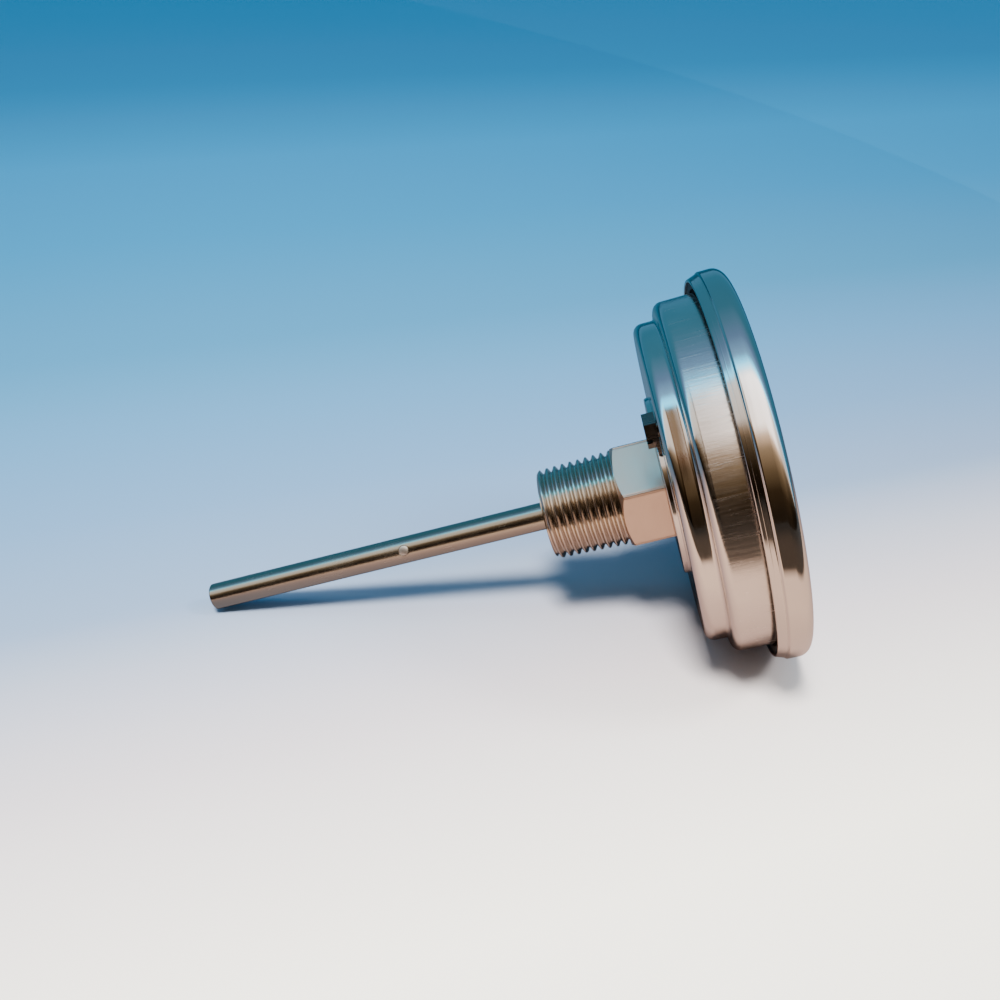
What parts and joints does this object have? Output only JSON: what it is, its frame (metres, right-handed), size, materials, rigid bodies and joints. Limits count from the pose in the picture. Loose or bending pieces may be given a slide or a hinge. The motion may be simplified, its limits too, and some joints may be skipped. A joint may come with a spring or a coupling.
{
  "type": "dial thermometer",
  "caption": "Back-connected dial thermometer: stepped round steel case with rolled bezel and window, hexagon, tapered pipe thread and slim probe.",
  "frame": {"origin": "on the axis, where the tapered pipe thread meets the hexagon", "axes": "+Y along the probe towards its tip, so the dial looks towards -Y; +Z is twelve o'clock on the dial, where the adjusting screw sits on the back; +X is three o'clock seen from the front"},
  "size_m": [0.0866, 0.1335, 0.0866],
  "materials": {
    "polished_stainless": "bright polished stainless steel",
    "brushed_stainless": "drawn stainless steel with fine lines along the axis",
    "machined_stainless": "turned and milled stainless steel",
    "spring_steel": "blued spring steel",
    "bimetal_strip": "rolled two-layer strip",
    "brass": "turned brass",
    "black_rubber": "matte black",
    "fibre": "matte fibre",
    "clear_glass": "clear polished",
    "dial_white": "matt white enamel on aluminium",
    "pointer_black": "matt black enamel"
  },
  "bodies": {
    "housing": {"connector": "machined_stainless", "stem_tube": "polished_stainless", "stem_tip_plug": "polished_stainless", "bush_stake": "machined_stainless", "lower_guide_bush": "brass", "middle_guide_bush": "brass", "upper_guide_bush": "brass", "coil_anchor": "machined_stainless", "bimetal_coil": "bimetal_strip", "case_shell": "brushed_stainless", "backing_washer": "machined_stainless", "hub_nut": "machined_stainless", "hub_sleeve": "brass", "friction_washer": "fibre", "dial_gear_clip": "spring_steel", "bezel_ring": "polished_stainless", "edge_seal": "black_rubber", "rear_seal": "black_rubber", "window_glass": "clear_glass", "front_seal": "black_rubber", "adjuster_bushing": "brass", "adjuster_o_ring": "black_rubber"},
    "dial": {"dial_gear": "brass", "dial_posts": "brass", "dial_plate": "dial_white", "dial_screws": "machined_stainless"},
    "pointer": {"spindle": "machined_stainless", "coil_collar": "brass", "pointer_hub": "brass", "pointer": "pointer_black"},
    "adjuster": {"adjuster_screw": "machined_stainless", "adjuster_pinion": "brass", "adjuster_clip": "spring_steel"}
  },
  "joints": [
    {"name": "dial_reset", "type": "hinge", "parent": "housing", "child": "dial", "pos_m": [0, 0, 0], "axis": [0, 1, 0], "range_deg": [-25, 25]},
    {"name": "adjuster_turn", "type": "hinge", "parent": "housing", "child": "adjuster", "pos_m": [0, 0, 0.0245], "axis": [0, 1, 0], "range_deg": [-78, 78]},
    {"name": "pointer_turn", "type": "hinge", "parent": "housing", "child": "pointer", "pos_m": [0, 0, 0], "axis": [0, 1, 0], "range_deg": [-85.9, 184.1], "stiffness_Nm_per_rad": 0.0019}
  ],
  "couplings": [
    {"joint": "adjuster_turn", "follows": "dial_reset", "ratio": -3.0833}
  ]
}
